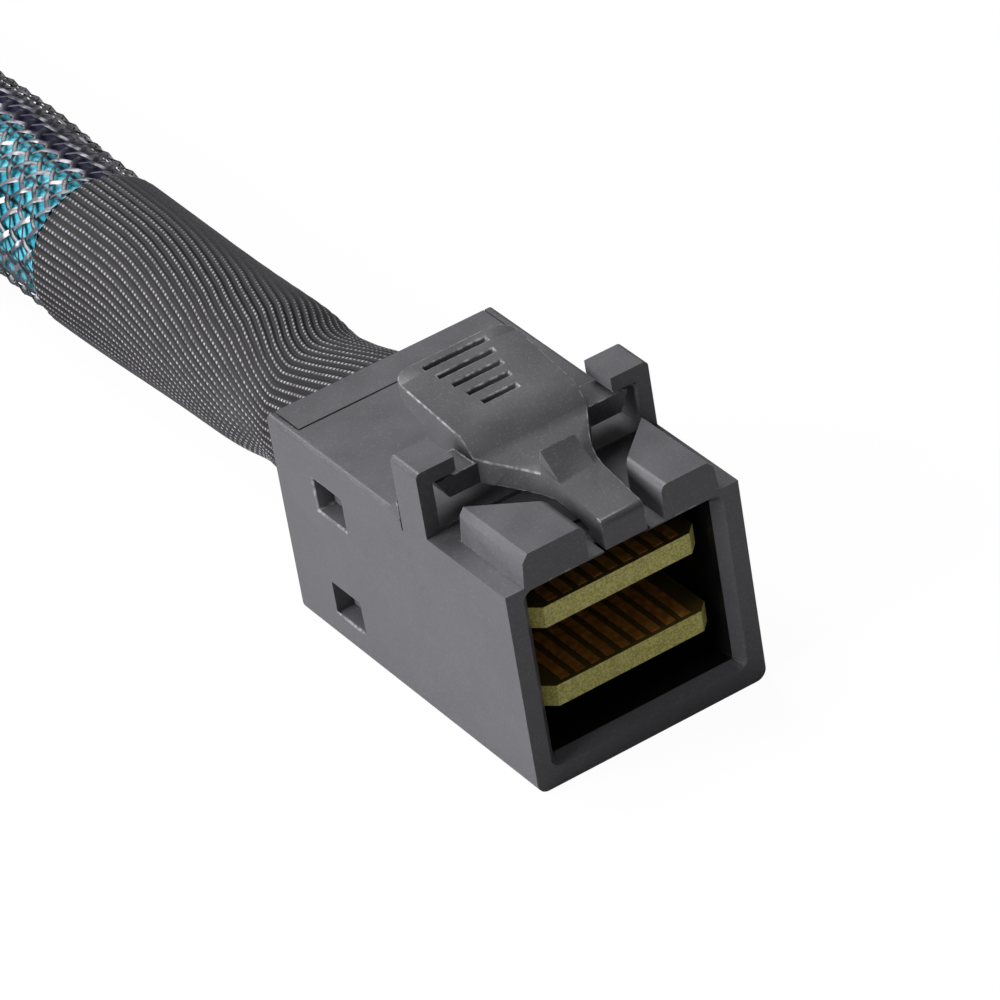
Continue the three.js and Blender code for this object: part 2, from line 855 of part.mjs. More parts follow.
// Half a shell with one bevelled face, cut flat at the parting plane
function farShellBlank(z0, z1) {
  const height = z1 - z0;
  const geometry = new THREE.ExtrudeGeometry(farShellPlan(farEdgeBevel), {
    depth: height - 2 * farEdgeBevel,
    bevelEnabled: true,
    bevelThickness: farEdgeBevel,
    bevelSize: farEdgeBevel,
    bevelSegments: 2,
    curveSegments: 4,
  });
  return toSolid(geometry.translate(0, 0, z0 + farEdgeBevel));
}

const farNoseLow = farMiddle - farNoseHeight / 2;
const farNoseHigh = farMiddle + farNoseHeight / 2;
const farLatchTop = farNoseHigh - farNoseWall - farFit;
const farLatchRear = farShellFront + farLatchTail;
const farButtonY = farShellFront + farButtonFront;

function farNosePocket() {
  const half = farNoseWidth / 2 + farFit;
  return block(-half, half, farShellFront - overhang, farShellFront + farNoseSeat + farFit,
    farNoseLow - farFit, farNoseHigh + farFit);
}

function farCardPocket() {
  const half = farCardWidth / 2 + farFit;
  return block(-half, half, farShellFront, farLatchRear + farFit, farNoseLow + farNoseWall,
    farLatchTop + farFit);
}

function farLowerShell() {
  const keep = block(-farHalf, farHalf, 0, farShellRear, 0, farMiddle - farPartingGap / 2);
  return cutBy(farShellBlank(0, farHeight).intersect(keep), farNosePocket(), farCardPocket());
}

function farUpperShell() {
  const keep = block(-farHalf, farHalf, 0, farShellRear, farMiddle + farPartingGap / 2, farHeight);
  const half = farButtonWidth / 2 + farButtonClearance;
  const buttonWindow = block(-half, half, farButtonY - farButtonClearance,
    farButtonY + farButtonLength + farButtonClearance, farMiddle, farHeight + overhang);
  return cutBy(farShellBlank(0, farHeight).intersect(keep), farNosePocket(), farCardPocket(), buttonWindow);
}

function farNose() {
  const half = farNoseWidth / 2;
  const rear = farShellFront + farNoseSeat;
  const bend = farNoseRadius;
  const outer = roundedRectangle(-half, half, farNoseLow, farNoseHigh, bend, bend);
  const innerBend = bend - farNoseWall;
  const inner = roundedRectangle(-half + farNoseWall, half - farNoseWall, farNoseLow + farNoseWall,
    farNoseHigh - farNoseWall, innerBend, innerBend);
  const hookSlots = [-1, 1].map((hand) => {
    const x = hand * farLatchArmSpacing / 2;
    const slotHalf = farLatchArmWidth / 2 + farFit;
    return block(x - slotHalf, x + slotHalf, farLatchSetback - farHookGap,
      farLatchSetback + farHookLength + farHookGap, farMiddle, farNoseHigh + overhang);
  });
  const tube = cutBy(frontOutline(outer, 0, rear, 3), frontOutline(inner, -overhang, rear + overhang, 3));
  return cutBy(tube, ...hookSlots);
}

function farPaddleCard() {
  const half = farCardWidth / 2;
  const low = farMiddle - farCardThickness / 2;
  const high = farMiddle + farCardThickness / 2;
  const rear = farLatchRear - farCardTail;
  const plan = polygon([
    [-half + cardChamfer, farCardSetback],
    [half - cardChamfer, farCardSetback],
    [half, farCardSetback + cardChamfer],
    [half, rear],
    [-half, rear],
    [-half, farCardSetback + cardChamfer],
  ]);
  const padFront = farCardSetback + contactSetback;
  const pads = contactStrip(farContactCount, farContactPitch, farContactWidth,
    padFront, padFront + farContactLength, low - contactRise, high + contactRise);
  return joined(planOutline(plan, low, high), ...pads);
}

function farInsulator() {
  const half = farNoseWidth / 2 - farNoseWall - farFit;
  const front = farShellFront - farInsulatorReach;
  const rear = front + farInsulatorLength;
  const top = farLatchTop - farLatchThickness - farPressTravel - farFit;
  const body = block(-half, half, front, rear, farNoseLow + farNoseWall + farFit, top);
  const slotHalf = farCardWidth / 2 + farFit;
  const reach = farCardThickness / 2 + farFit;
  return cutBy(body, block(-slotHalf, slotHalf, front - overhang, rear + overhang,
    farMiddle - reach, farMiddle + reach));
}

function farLatch() {
  const low = farLatchTop - farLatchThickness;
  const arms = [-1, 1].map((hand) => {
    const x = hand * farLatchArmSpacing / 2;
    const arm = block(x - farLatchArmWidth / 2, x + farLatchArmWidth / 2, farLatchSetback - farArmLead,
      farLatchRear, low, farLatchTop);
    const hook = polygon([
      [farLatchSetback, low],
      [farLatchSetback + farHookLength, low],
      [farLatchSetback + farHookLength, farNoseHigh + farHookRise],
      [farLatchSetback + farHookLength - farHookTop, farNoseHigh + farHookRise],
    ]);
    return joined(arm, sideOutline(hook, x - farLatchArmWidth / 2, x + farLatchArmWidth / 2));
  });
  const bridgeHalf = (farLatchArmSpacing + farLatchArmWidth) / 2;
  const bridge = block(-bridgeHalf, bridgeHalf, farButtonY - farBridgeLead, farLatchRear, low, farLatchTop);
  return joined(bridge, ...arms);
}

function farButton() {
  const half = farButtonWidth / 2;
  const radius = farButtonRadius;
  const plan = roundedRectangle(-half, half, farButtonY, farButtonY + farButtonLength, radius, radius);
  const top = farHeight + farButtonRise;
  const grips = Array.from({ length: farGripCount }, (_, index) => {
    const y = farButtonY + farButtonLength / 2 + (index - (farGripCount - 1) / 2) * farGripPitch;
    return block(-half + radius, half - radius, y - farGripWidth / 2, y + farGripWidth / 2,
      top - farGripDepth, top + overhang);
  });
  return cutBy(planOutline(plan, farLatchTop + farFit / 2, top, 3), ...grips);
}

function farBoot() {
  const radius = farBootDiameter / 2;
  const end = farBootStart + farBootLength;
  return turnedAlongY([
    [0, farBootStart],
    [radius + farBootFlare, farBootStart],
    [radius, farBootStart + farBootFlareLength],
    [radius + bootEndSwell, end],
    [0, end],
  ], farMiddle, farBootSides);
}

addPiece("far_lower_shell", farLowerShell(), shellBlack, farPlug);
addPiece("far_upper_shell", farUpperShell(), shellBlack, farPlug);
addPiece("far_nose", farNose(), noseSteel, farPlug);
addPiece("far_paddle_card", farPaddleCard(), boardGreen, farPlug);
addPiece("far_insulator", farInsulator(), innerBlack, farPlug);
addPiece("far_latch", farLatch(), noseSteel, farPlug);
addPiece("far_button", farButton(), shellBlack, farPlug);
addPiece("far_boot", toSolid(farBoot()), bootBlack, farPlug);

// The origin is under the middle of the near plug and its boot
part.position.y = -bootEnd / 2;

export default part;
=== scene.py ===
# Looks of an internal data cable: a dark moulded plug with a press latch, a ribbed boot, and a braided sleeve
# that lies in a loose loop and ends in a flat plug with a sprung metal latch.
import math

import bmesh
import bpy
from mathutils import Matrix, Quaternion, Vector


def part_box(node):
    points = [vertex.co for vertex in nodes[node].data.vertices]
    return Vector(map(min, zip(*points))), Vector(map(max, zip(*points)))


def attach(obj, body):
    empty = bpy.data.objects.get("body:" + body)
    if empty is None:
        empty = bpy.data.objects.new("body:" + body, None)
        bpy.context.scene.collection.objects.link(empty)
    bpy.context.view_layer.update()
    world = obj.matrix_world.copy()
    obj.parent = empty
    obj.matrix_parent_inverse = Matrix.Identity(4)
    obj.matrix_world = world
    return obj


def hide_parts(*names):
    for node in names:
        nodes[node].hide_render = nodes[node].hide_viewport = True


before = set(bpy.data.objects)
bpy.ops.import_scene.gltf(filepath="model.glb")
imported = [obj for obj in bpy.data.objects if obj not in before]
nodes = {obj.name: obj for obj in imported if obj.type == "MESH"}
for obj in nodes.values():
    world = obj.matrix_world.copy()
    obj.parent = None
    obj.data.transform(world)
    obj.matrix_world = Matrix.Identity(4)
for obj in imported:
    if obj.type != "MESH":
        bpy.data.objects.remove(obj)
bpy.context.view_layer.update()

# Sizes are in millimetres from the near plug's mouth: x to its right, y towards the cable, z up
mm = 0.001
mouth_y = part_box("plug_shell")[0].y
row_frame = Matrix.Translation((0, mouth_y, 0)) @ Matrix.Scale(mm, 4)


def size_of(node):
    """A node's lowest and highest corner in plug millimetres."""
    back = row_frame.inverted()
    low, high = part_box(node)
    return back @ low, back @ high


def ease(share):
    held = min(max(share, 0.0), 1.0)
    return held * held * (3 - 2 * held)


def share_between(span, value):
    """Rises smoothly from 0 at the span's low end to 1 at its high end."""
    low, high = span
    return ease((value - low) / (high - low))


def read_between(stations, value):
    """The height at value of the line through (place, height) stations."""
    for (low, start), (high, end) in zip(stations, stations[1:]):
        if value <= high:
            return start + (end - start) * max((value - low) / (high - low), 0)
    return stations[-1][1]


# Camera of the photograph, fitted to the plug's edges
camera_place = (-106.086, -187.452, 158.129)
camera_azimuth = 28.2966
camera_elevation = 34.0324
camera_roll = 9.8487
camera_lens = 236.01
sensor_width = 36.0


def add_camera():
    azimuth, elevation = math.radians(camera_azimuth), math.radians(camera_elevation)
    forward = Vector((
        math.sin(azimuth) * math.cos(elevation),
        math.cos(azimuth) * math.cos(elevation),
        -math.sin(elevation),
    ))
    data = bpy.data.cameras.new("photo_camera")
    data.lens = camera_lens
    data.sensor_width = sensor_width
    data.clip_start = 0.01
    data.clip_end = 10
    camera = bpy.data.objects.new("photo_camera", data)
    bpy.context.scene.collection.objects.link(camera)
    camera.location = row_frame @ Vector(camera_place)
    camera.rotation_mode = "QUATERNION"
    roll = Quaternion((0, 0, 1), -math.radians(camera_roll))
    camera.rotation_quaternion = forward.to_track_quat("-Z", "Y") @ roll
    bpy.context.scene.camera = camera


# Node trees: a short way to write them

class Tree:
    def __init__(self, owner):
        owner.use_nodes = True
        self.nodes = owner.node_tree.nodes
        self.links = owner.node_tree.links
        self.nodes.clear()

    def add(self, kind, settings=None, **sockets):
        node = self.nodes.new(kind)
        for name, value in (settings or {}).items():
            setattr(node, name, value)
        for name, value in sockets.items():
            self.feed(node, name.replace("_", " "), value)
        return node

    def feed(self, node, name, value):
        socket = node.inputs[int(name[1:])] if name[0] == "i" and name[1:].isdigit() else node.inputs[name]
        if isinstance(value, bpy.types.NodeSocket):
            self.links.new(value, socket)
        elif isinstance(value, bpy.types.Node):
            self.links.new(value.outputs[0], socket)
        else:
            socket.default_value = value

    def maths(self, operation, a, b=0.0, c=0.0):
        return self.add("ShaderNodeMath", {"operation": operation}, i0=a, i1=b, i2=c).outputs[0]

    def mix(self, share, a, b):
        node = self.add("ShaderNodeMix", {"data_type": "RGBA"}, i0=share, i6=a, i7=b)
        return node.outputs[2]

    def spread(self, value, low, high, out_low=0.0, out_high=1.0):
        node = self.add("ShaderNodeMapRange", None, i0=value, i1=low, i2=high, i3=out_low, i4=out_high)
        return node.outputs[0]

    def grain(self, size, detail=2.0):
        """Noise on the object's own coordinates, with grains of a size in millimetres."""
        place = self.add("ShaderNodeTexCoord").outputs["Object"]
        grain = self.add("ShaderNodeTexNoise", None, Vector=place, Scale=1 / (size * mm), Detail=detail)
        return grain.outputs[0]

    def attribute(self, name):
        return self.add("ShaderNodeAttribute", {"attribute_name": name}).outputs["Fac"]

    def across_and_along(self):
        """The two parts of the piece's own UV map."""
        parts = self.add("ShaderNodeSeparateXYZ", None, Vector=self.add("ShaderNodeTexCoord").outputs["UV"])
        return parts.outputs[0], parts.outputs[1]

    def wave(self, value, count):
        """Goes from 0 to 1 and back count times as value goes from 0 to 1, and is 1 at each whole turn."""
        turned = self.maths("MULTIPLY", value, count * math.tau)
        return self.spread(self.maths("COSINE", turned), -1, 1)

    def bump(self, height, depth):
        return self.add("ShaderNodeBump", None, Strength=1.0, Distance=depth * mm, Height=height)

    def finish(self, colour, roughness, bump=None, **uniform):
        shader = self.add("ShaderNodeBsdfPrincipled", None, Base_Color=colour, Roughness=roughness, **uniform)
        if bump:
            self.feed(shader, "Normal", bump)
        self.add("ShaderNodeOutputMaterial", None, Surface=shader)


def new_material(name):
    material = bpy.data.materials.new(name)
    return material, Tree(material)


def srgb(red, green, blue):
    """A colour written as screen values from 0 to 255."""
    def linear(value):
        share = value / 255
        return share / 12.92 if share <= 0.04045 else ((share + 0.055) / 1.055) ** 2.4
    return (linear(red), linear(green), linear(blue), 1.0)


def dimmed(colour, share):
    return (*(part * share for part in colour[:3]), 1.0)


# Studio

# Places are in metres in the shared frame, powers in watts
plug_middle = (0, 0, 0.006)
softbox_side = 0.35
left_softbox = {"place": (-0.45, 0.05, 0.20), "power": 5.4}
top_softbox = {"place": (-0.05, 0.30, 0.50), "power": 3.2}
sky_light = 0.16
floor_side = 3
paper_grey = (0.42, 0.42, 0.42, 1)
paper_glow = 0.9
paper_glow_strength = 1.06
white = (1, 1, 1, 1)


def add_softbox(name, place, power):
    data = bpy.data.lights.new(name, "AREA")
    data.shape = "RECTANGLE"
    data.size = softbox_side
    data.size_y = softbox_side
    data.energy = power
    lamp = bpy.data.objects.new(name, data)
    bpy.context.scene.collection.objects.link(lamp)
    lamp.location = place
    lamp.rotation_mode = "QUATERNION"
    lamp.rotation_quaternion = (Vector(plug_middle) - Vector(place)).to_track_quat("-Z", "Y")


def seen_directly(tree):
    rays = tree.add("ShaderNodeLightPath")
    return tree.maths("MAXIMUM", rays.outputs["Is Camera Ray"], rays.outputs["Is Transmission Ray"])


def add_world():
    world = bpy.data.worlds.new("studio_light")
    bpy.context.scene.world = world
    tree = Tree(world)
    strength = tree.spread(seen_directly(tree), 0, 1, sky_light, 1.0)
    sky = tree.add("ShaderNodeBackground", None, Color=white, Strength=strength)
    tree.add("ShaderNodeOutputWorld", None, Surface=sky)


def add_floor():
    bpy.ops.mesh.primitive_plane_add(size=floor_side)
    floor = bpy.context.object
    floor.name = "studio_floor"
    paper, tree = new_material("white_paper")
    diffuse = tree.add("ShaderNodeBsdfDiffuse", None, Color=paper_grey)
    glow = tree.add("ShaderNodeEmission", None, Color=white, Strength=paper_glow_strength)
    share = tree.maths("MULTIPLY", seen_directly(tree), paper_glow)
    surface = tree.add("ShaderNodeMixShader", None, i0=share, i1=diffuse, i2=glow)
    tree.add("ShaderNodeOutputMaterial", None, Surface=surface)
    floor.data.materials.append(paper)


# Route of the sleeved cable, as its solid has it

sleeve_diameter = 7.6
boot_rear = size_of("boot")[1].y
cord_gap = 0.3
cord_floor_gap = 0.02
cord_rest = sleeve_diameter / 2 + cord_floor_gap
boot_end_height = 4.3
loop_centre = (-46.0, 76.0)
loop_radius = 46.0
loop_turns = 1.5
loop_turn_spacing = 8.0
points_per_turn = 12
crossing_y = 52.6
crossing_rise = 8.2
crossing_half_length = 36.0
far_cable_end = 14.3


def crossing_lift(distance):
    share = min(abs(distance) / crossing_half_length, 1)
    return crossing_rise * math.cos(share * math.pi / 2) ** 2


def sleeve_route():
    start = boot_rear + cord_gap
    lead = [
        (0, start, boot_end_height),
        (0.1, start + 4, boot_end_height - 0.05),
        (0.4, start + 8, boot_end_height - 0.15),
        (0.5, start + 13, boot_end_height - 0.32),
        (0.3, start + 20, cord_rest),
        (0.1, start + 27, cord_rest),
    ]
    count = round(loop_turns * points_per_turn)
    loop = []
    for index in range(count + 1):
        turns = index / points_per_turn
        radius = loop_radius - loop_turn_spacing * turns
        angle = turns * math.tau
        x = loop_centre[0] + radius * math.cos(angle)
        y = loop_centre[1] + radius * math.sin(angle)
        lift = crossing_lift(loop_centre[1] - crossing_y) if index == count else 0
        loop.append((x, y, cord_rest + lift))
    tail_x = loop_centre[0] - (loop_radius - loop_turn_spacing * loop_turns)
    tail = [
        (tail_x, y, cord_rest + crossing_lift(y - crossing_y))
        for y in (70, 64, 58, crossing_y, 46, 40, 34, 28, 22, 17.5, far_cable_end)
    ]
    return [Vector(p) for p in [*lead, *loop, *tail]]


def smooth_line(points, per_span=16):
    """The centripetal curve through the points, in even steps along it."""
    ends = [points[0] * 2 - points[1], *points, points[-1] * 2 - points[-2]]
    dense = []
    for p0, p1, p2, p3 in zip(ends, ends[1:], ends[2:], ends[3:]):
        gaps = [max((b - a).length ** 0.5, 1e-6) for a, b in ((p0, p1), (p1, p2), (p2, p3))]
        leave = (p1 - p0) / gaps[0] - (p2 - p0) / (gaps[0] + gaps[1]) + (p2 - p1) / gaps[1]
        arrive = (p2 - p1) / gaps[1] - (p3 - p1) / (gaps[1] + gaps[2]) + (p3 - p2) / gaps[2]
        leave, arrive = leave * gaps[1], arrive * gaps[1]
        for step in range(per_span):
            t = step / per_span
            dense.append(
                p1 * (2 * t ** 3 - 3 * t ** 2 + 1) + leave * (t ** 3 - 2 * t ** 2 + t)
                + p2 * (3 * t ** 2 - 2 * t ** 3) + arrive * (t ** 3 - t ** 2)
            )
    dense.append(points[-1].copy())
    return dense


class Line:
    """Places and directions by distance along a curve, with a side and an up that don't twist about it."""

    def __init__(self, points):
        self.points = points
        self.marks = [0.0]
        for a, b in zip(points, points[1:]):
            self.marks.append(self.marks[-1] + (b - a).length)
        self.length = self.marks[-1]
        self.ups = []
        up = Vector((0, 0, 1))
        for index in range(len(points)):
            along = self.direction(index)
            up = (up - along * up.dot(along)).normalized()
            self.ups.append(up.copy())

    def direction(self, index):
        before, after = self.points[max(index - 1, 0)], self.points[min(index + 1, len(self.points) - 1)]
        return (after - before).normalized()

    def at(self, distance):
        """Place, side and up at a distance, straight on past both ends."""
        held = min(max(distance, 0.0), self.length)
        low, high = 0, len(self.marks) - 1
        while high - low > 1:
            middle = (low + high) // 2
            if self.marks[middle] <= held:
                low = middle
            else:
                high = middle
        share = (held - self.marks[low]) / (self.marks[high] - self.marks[low])
        along = self.direction(low).lerp(self.direction(high), share).normalized()
        place = self.points[low].lerp(self.points[high], share) + along * (distance - held)
        up = self.ups[low].lerp(self.ups[high], share)
        up = (up - along * up.dot(along)).normalized()
        return place, along.cross(up), up


cable_line = Line(smooth_line(sleeve_route()))


# Pieces: a mesh in plug millimetres becomes an object in the row frame

def add_piece(name, bm, material, body, stands_for=()):
    bmesh.ops.transform(bm, matrix=row_frame, verts=bm.verts)
    data = bpy.data.meshes.new(name)
    bm.to_mesh(data)
    bm.free()
    data.materials.append(material)
    data.shade_smooth()
    piece = bpy.data.objects.new(name, data)
    bpy.context.scene.collection.objects.link(piece)
    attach(piece, body)
    if stands_for:
        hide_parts(*stands_for)
    return piece


def wrapped_grid(around, along, place):
    """A grid wrapped round a path, with its points at place(turn, share of the length)."""
    bm = bmesh.new()
    bm.loops.layers.uv.new("UVMap")
    bmesh.ops.create_grid(bm, x_segments=around, y_segments=along, size=0.5, calc_uvs=True)
    for vert in bm.verts:
        vert.co = place(vert.co.x + 0.5, vert.co.y + 0.5)
    bmesh.ops.remove_doubles(bm, verts=bm.verts, dist=1e-4)
    bmesh.ops.recalc_face_normals(bm, faces=bm.faces)
    return bm


# Moulded and stamped pieces: the solid's own form, with its moulded edges rounded

weld_distance = 0.0005
flat_angle = math.radians(0.5)
hard_edge_angle = math.radians(38)
# Least length of a rounded edge and least width beside it, in radii of the rounding
least_edge_length = 0.5
least_edge_room = 1.1


def merged_copy(node):
    bm = bmesh.new()
    bm.from_mesh(nodes[node].data)
    bmesh.ops.transform(bm, matrix=row_frame.inverted(), verts=bm.verts)
    bmesh.ops.remove_doubles(bm, verts=bm.verts, dist=weld_distance)
    flat = [edge for edge in bm.edges if edge.is_manifold and edge.calc_face_angle() < flat_angle]
    bmesh.ops.beautify_fill(bm, faces=bm.faces, edges=flat, method="ANGLE")
    return bm


def is_hard(edge):
    return edge.is_manifold and edge.calc_face_angle() > hard_edge_angle


def has_room(edge, radius):
    """An edge is rounded only where both faces beside it are wide enough to give up a strip."""
    length = edge.calc_length()
    return (length > least_edge_length * radius
            and all(2 * face.calc_area() / length > least_edge_room * radius for face in edge.link_faces))


def meets_sliver(vert, radius):
    """A face thinner than the rounding would be folded over by it."""
    return any(2 * face.calc_area() / max(edge.calc_length() for edge in face.edges) < radius
               for face in vert.link_faces)


def round_edges(bm, radius):
    """Rounds the hard edges and marks the new faces, whose colour is lightened partly as wear and partly as
    painted highlight.
    """
    wear_and_highlight = bm.faces.layers.float.new("wear_and_highlight")
    hard = {edge for edge in bm.edges if is_hard(edge)}
    roomy = {edge for edge in hard if has_room(edge, radius)}
    edges = [edge for edge in roomy
             if all(other in roomy for vert in edge.verts for other in vert.link_edges if other in hard)
             and not any(meets_sliver(vert, radius) for vert in edge.verts)]
    made = bmesh.ops.bevel(bm, geom=edges, affect="EDGES", offset=radius, segments=2, profile=0.5,
                           material=-1, clamp_overlap=False)
    for face in made["faces"]:
        face[wear_and_highlight] = 1.0
    for edge in bm.edges:
        edge.smooth = not is_hard(edge)


def add_moulding(node, material, radius, body="root", painted_mouth_shade=None):
    """A rigid piece; the function given for the mouth says which of its faces lie in the mouth, to be painted
    in near-black shade.
    """
    bm = merged_copy(node)
    round_edges(bm, radius)
    shade = bm.faces.layers.float.new("painted_mouth_shade")
    for face in bm.faces:
        face[shade] = 1.0 if painted_mouth_shade and painted_mouth_shade(face.calc_center_median()) else 0.0
    piece = add_piece(node + "_finished", bm, material, body, [node])
    weigh = piece.modifiers.new("weigh_normals", "WEIGHTED_NORMAL")
    weigh.keep_sharp = True
    return piece


def moulded_plastic(name, colour, pale_wear_and_glint, dark, roughness, grain_size=0.05, grain_depth=0.006):
    """Spark-eroded plastic: fine grain, uneven sheen, faint light specks painted as glints, hard edges
    lightened partly as wear and partly as painted highlight, and painted near-black shade inside the mouth.
    """
    material, tree = new_material(name)
    grain = tree.grain(grain_size)
    cloud = tree.grain(2.2)
    # Faint light specks all over are painted glints of the spark-eroded grain.
    glint_specks = tree.spread(tree.grain(0.11, 0), 0.66, 0.74)
    clouded = tree.mix(tree.spread(cloud, 0.35, 0.65), dimmed(colour, 0.86), colour)
    grained = tree.mix(tree.spread(grain, 0.55, 0.80, 0.0, 0.12), clouded, pale_wear_and_glint)
    # The rounded edges are lightened in scuffed patches, partly as wear and partly as painted highlight where
    # the edges catch the light.
    scuffs_and_glints = tree.spread(tree.grain(0.3), 0.42, 0.66, 0.05, 0.55)
    edge = tree.maths("MULTIPLY", tree.attribute("wear_and_highlight"), scuffs_and_glints)
    edged = tree.mix(tree.maths("MAXIMUM", edge, tree.maths("MULTIPLY", glint_specks, 0.07)), grained, pale_wear_and_glint)
    # Faces marked in the mouth take the near-black colour: painted shade, since the cavity lies in shade.
    surface = tree.mix(tree.attribute("painted_mouth_shade"), edged, dark)
    sheen = tree.spread(cloud, 0.3, 0.7, roughness - 0.06, roughness + 0.08)
    tree.finish(surface, sheen, tree.bump(grain, grain_depth), Specular_IOR_Level=0.4)
    return material


side_wall = 1.2
roof_wall = 0.8
floor_wall = 1.3
housing_height = 10.05
cavity_half = size_of("plug_shell")[1].x - side_wall
cavity_roof = housing_height - roof_wall
cavity_slack = 0.12
shell_rounding = 0.09
cover_rounding = 0.06
latch_rounding = 0.07
far_rounding = 0.06


# Faces of the shell's cavity, which are painted near-black as shade.
def in_mouth(centre):
    return (abs(centre.x) < cavity_half + cavity_slack and centre.y > cavity_slack
            and floor_wall - cavity_slack < centre.z < cavity_roof + cavity_slack)


# Boards with gold contacts

board_thickness = 1.0
far_board_thickness = 0.7
contact_slack = 0.01
upright_normal = 0.9


def add_board(node, material, thickness):
    """A board whose raised contacts and sawn front edge are marked for its material."""
    bm = merged_copy(node)
    low, high = size_of(node)
    middle = (low.z + high.z) / 2
    gold = bm.faces.layers.float.new("gold")
    sawn = bm.faces.layers.float.new("sawn")
    for face in bm.faces:
        centre = face.calc_center_median()
        raised = abs(centre.z - middle) > thickness / 2 + contact_slack
        face[gold] = 1.0 if raised else 0.0
        face[sawn] = 1.0 if abs(face.normal.z) < upright_normal and not raised else 0.0
    for edge in bm.edges:
        edge.smooth = not is_hard(edge)
    return add_piece(node + "_finished", bm, material, "root", [node])


def board_with_contacts():
    material, tree = new_material("board_with_contacts")
    grain = tree.grain(0.09)
    mask = tree.mix(tree.spread(grain, 0.4, 0.65), srgb(78, 66, 22), srgb(96, 84, 34))
    sawn = tree.mix(tree.spread(grain, 0.35, 0.65), srgb(148, 140, 62), srgb(196, 188, 108))
    board = tree.mix(tree.attribute("sawn"), mask, sawn)
    pad = tree.mix(tree.spread(tree.grain(0.4), 0.4, 0.6), srgb(150, 98, 38), srgb(182, 128, 58))
    gold = tree.attribute("gold")
    colour = tree.mix(gold, board, pad)
    tree.finish(colour, tree.spread(gold, 0, 1, 0.5, 0.32), tree.bump(grain, 0.004))
    return material


# Boot: a ribbed woven tube shrunk over the collar, twisted and pinched towards the plug

cable_height = 5.0
boot_front = size_of("boot")[0].y
boot_length = boot_rear - boot_front
boot_wall = 0.42
boot_flare = 0.75
boot_flare_length = 5.0
boot_end_swell = 0.2
boot_sag = 0.7
boot_bore = size_of("boot")[1].x - boot_flare - boot_wall
boot_pinch = 0.28
boot_pinch_place = 24.6
boot_pinch_length = 1.9
boot_lip = 0.14
boot_lip_length = 0.5
rib_count = 56
rib_depth = 0.1
rib_samples = 6
boot_rings = 110
stitch_pitch = 0.25
# The ribs lie nearly smooth above right and below left, except at the pinch
# Angles are in degrees, from the right over the top
smooth_rib = 0.12
ribs_rise = (50, 90)
ribs_fade = (196, 212)
pinch_end = (26, 30)
# How far the ribs have turned about the cable, in degrees, by place along it
rib_twist = [
    (18, 51), (21.5, 60), (22.9, 64), (23.5, 65.5), (24.2, 63.5), (25.1, 58.5), (26.2, 50), (27.4, 42),
    (29.6, 31.5), (31, 24), (33.4, 13.5), (35, 7.6), (36.5, 3.4), (38, 1), (40, 0), (43, 0),
]


def boot_radius(y):
    along = y - boot_front
    flare = boot_flare * (1 - ease(along / boot_flare_length))
    swell = boot_end_swell * ease(along / boot_length * 2 - 1)
    pinch = boot_pinch * math.exp(-((y - boot_pinch_place) / boot_pinch_length) ** 2)
    return boot_bore + boot_wall + flare + swell - pinch


def boot_centre(y):
    return cable_height - boot_sag * ease((y - boot_front) / boot_length)


def rib_strength(angle, y):
    """From 0 where the tube is stretched smooth to 1 on its left flank and at the pinch."""
    near_pinch = 1 - share_between(pinch_end, y)
    left_flank = share_between(ribs_rise, angle) * (1 - share_between(ribs_fade, angle))
    return max(left_flank, near_pinch)


def add_boot(material):
    outside = [boot_front + boot_length * index / boot_rings for index in range(boot_rings + 1)]
    rings = [(boot_front, None), *((y, 1) for y in outside), (boot_rear, None), (boot_front, None)]

    def place(turn, share):
        y, ribbed = rings[round(share * (len(rings) - 1))]
        angle = turn * 360 + (read_between(rib_twist, y) if ribbed else 0)
        radius = boot_bore
        if ribbed:
            height = math.cos(turn * rib_count * math.tau) * 0.5 - 0.5
            end = boot_lip * share_between((boot_rear - boot_lip_length, boot_rear), y)
            strength = smooth_rib + (1 - smooth_rib) * rib_strength(angle % 360, y)
            radius = boot_radius(y) - end + rib_depth * height * strength
        turned = math.radians(angle)
        return Vector((radius * math.cos(turned), y, boot_centre(y) + radius * math.sin(turned)))

    bm = wrapped_grid(rib_count * rib_samples, len(rings) - 1, place)
    flank = bm.verts.layers.float.new("flank")
    for vert in bm.verts:
        angle = math.degrees(math.atan2(vert.co.z - boot_centre(vert.co.y), vert.co.x)) % 360
        vert[flank] = rib_strength(angle, vert.co.y)
    return add_piece("boot_finished", bm, material, "root", ["boot"])


def ribbed_weave():
    material, tree = new_material("ribbed_weave")
    turn, along = tree.across_and_along()
    flank = tree.attribute("flank")
    crest = tree.wave(turn, rib_count)
    stitches = tree.wave(along, round(boot_length / stitch_pitch))
    grain = tree.grain(0.06)
    dot = tree.maths("MULTIPLY", tree.spread(crest, 0.72, 0.92), tree.spread(stitches, 0.35, 0.75))
    # Light dots on the stitched rib crests, strongest on the ribbed left flank, are painted highlights.
    stitch_highlight = tree.maths("MULTIPLY", dot, tree.spread(flank, 0.4, 1.0, 0.0, 0.8))
    stitch_highlight = tree.maths("MULTIPLY", stitch_highlight, tree.spread(tree.grain(0.5), 0.35, 0.6, 0.35, 1.0))
    smooth = tree.mix(tree.spread(grain, 0.4, 0.65), srgb(46, 44, 48), srgb(58, 56, 60))
    # The ribs are painted near-black in their troughs and lighter at their crests: painted shade in the
    # grooves.
    rib_groove_shade = tree.mix(tree.spread(crest, 0.45, 1.0), srgb(13, 11, 13), srgb(44, 42, 46))
    colour = tree.mix(flank, smooth, rib_groove_shade)
    colour = tree.mix(stitch_highlight, colour, srgb(150, 148, 154))
    height = tree.maths("ADD", tree.maths("MULTIPLY", dot, 0.6), tree.maths("MULTIPLY", grain, 0.3))
    tree.finish(colour, 0.62, tree.bump(height, 0.03), Specular_IOR_Level=0.35)
    return material


